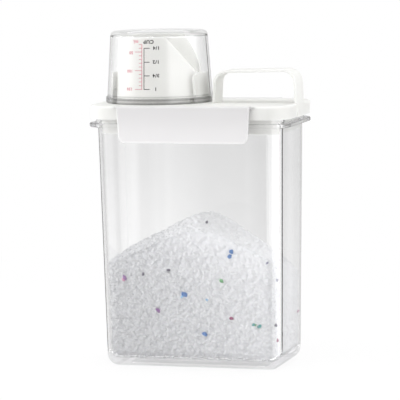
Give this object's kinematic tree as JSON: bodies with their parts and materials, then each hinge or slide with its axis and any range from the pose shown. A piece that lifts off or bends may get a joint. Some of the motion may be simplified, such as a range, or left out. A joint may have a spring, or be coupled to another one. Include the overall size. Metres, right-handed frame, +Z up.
{
  "type": "detergent dispenser",
  "caption": "Clear tapered powder box with a white clip-on lid, strap handle, slanted pouring spout and an upturned clear measuring cup over it, part full of white granules.",
  "frame": {"origin": "centre of the container's footprint, on the surface that it stands on", "axes": "+Z up from the foot to the cup, -Y out of the front with its latch, -X towards the spout and cup, +X towards the handle"},
  "size_m": [0.146, 0.0928, 0.2343],
  "materials": {
    "clear_wall": "polished clear moulding",
    "powder": "fine white granules with a few coloured ones",
    "white_lid": "satin white moulding",
    "seal": "soft translucent silicone",
    "white_latch": "satin white moulding",
    "clear_cup": "polished clear moulding with a printed scale"
  },
  "bodies": {
    "base": {"container": "clear_wall", "powder_heap": "powder"},
    "lid": {"lid": "white_lid", "lid_seal": "seal"},
    "front_latch": {"front_latch": "white_latch"},
    "rear_latch": {"rear_latch": "white_latch"},
    "cup": {"measuring_cup": "clear_cup"}
  },
  "joints": [
    {"name": "lid_lift", "type": "slide", "parent": "base", "child": "lid", "axis": [0, 0, 1], "range_m": [0, 0.06]},
    {"name": "front_latch_hinge", "type": "hinge", "parent": "lid", "child": "front_latch", "pos_m": [0, -0.0411, 0.1826], "axis": [-1, 0, 0], "range_deg": [0, 100]},
    {"name": "rear_latch_hinge", "type": "hinge", "parent": "lid", "child": "rear_latch", "pos_m": [0, 0.0411, 0.1826], "axis": [1, 0, 0], "range_deg": [0, 100]},
    {"name": "cup_lift", "type": "slide", "parent": "lid", "child": "cup", "axis": [0, 0, 1], "range_m": [0, 0.065]}
  ]
}
